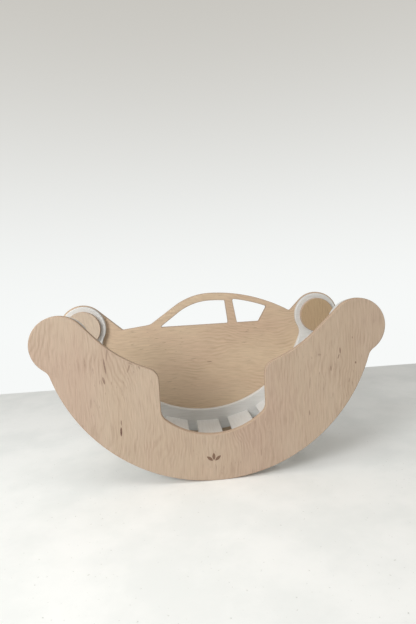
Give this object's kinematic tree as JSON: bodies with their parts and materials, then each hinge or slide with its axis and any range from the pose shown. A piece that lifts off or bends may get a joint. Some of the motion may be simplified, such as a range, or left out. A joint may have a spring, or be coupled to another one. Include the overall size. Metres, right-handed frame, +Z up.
{
  "type": "rocking car",
  "caption": "Plywood rocker for a small child: two arc-shaped sides, one cut as a car with windows and one with a low door, joined by a curved seat of cross slats.",
  "frame": {"origin": "on the floor, under the middle of the rocking edges and midway between the two sides", "axes": "+X along the length towards the back of the car, +Y across towards the car-shaped side, +Z up"},
  "size_m": [0.9978, 0.4, 0.5157],
  "materials": {
    "birch_ply_clear": "clear matt lacquer",
    "birch_ply_white": "white satin paint",
    "screw_steel": "zinc plated",
    "beech_dowel": "bare"
  },
  "bodies": {
    "root": {"door_side_panel": "birch_ply_clear", "door_side_rib": "birch_ply_white", "door_side_disc_left": "birch_ply_clear", "door_side_disc_right": "birch_ply_clear", "door_side_slat_screws": "screw_steel", "door_side_panel_screws": "screw_steel", "door_side_disc_dowels": "beech_dowel", "car_side_panel": "birch_ply_clear", "car_side_rib": "birch_ply_white", "car_side_disc_left": "birch_ply_clear", "car_side_disc_right": "birch_ply_clear", "car_side_slat_screws": "screw_steel", "car_side_panel_screws": "screw_steel", "car_side_disc_dowels": "beech_dowel", "slat_1": "birch_ply_white", "slat_2": "birch_ply_white", "slat_3": "birch_ply_white", "slat_4": "birch_ply_white", "slat_5": "birch_ply_white", "slat_6": "birch_ply_white", "slat_7": "birch_ply_white", "slat_8": "birch_ply_white", "slat_9": "birch_ply_white"}
  },
  "joints": []
}
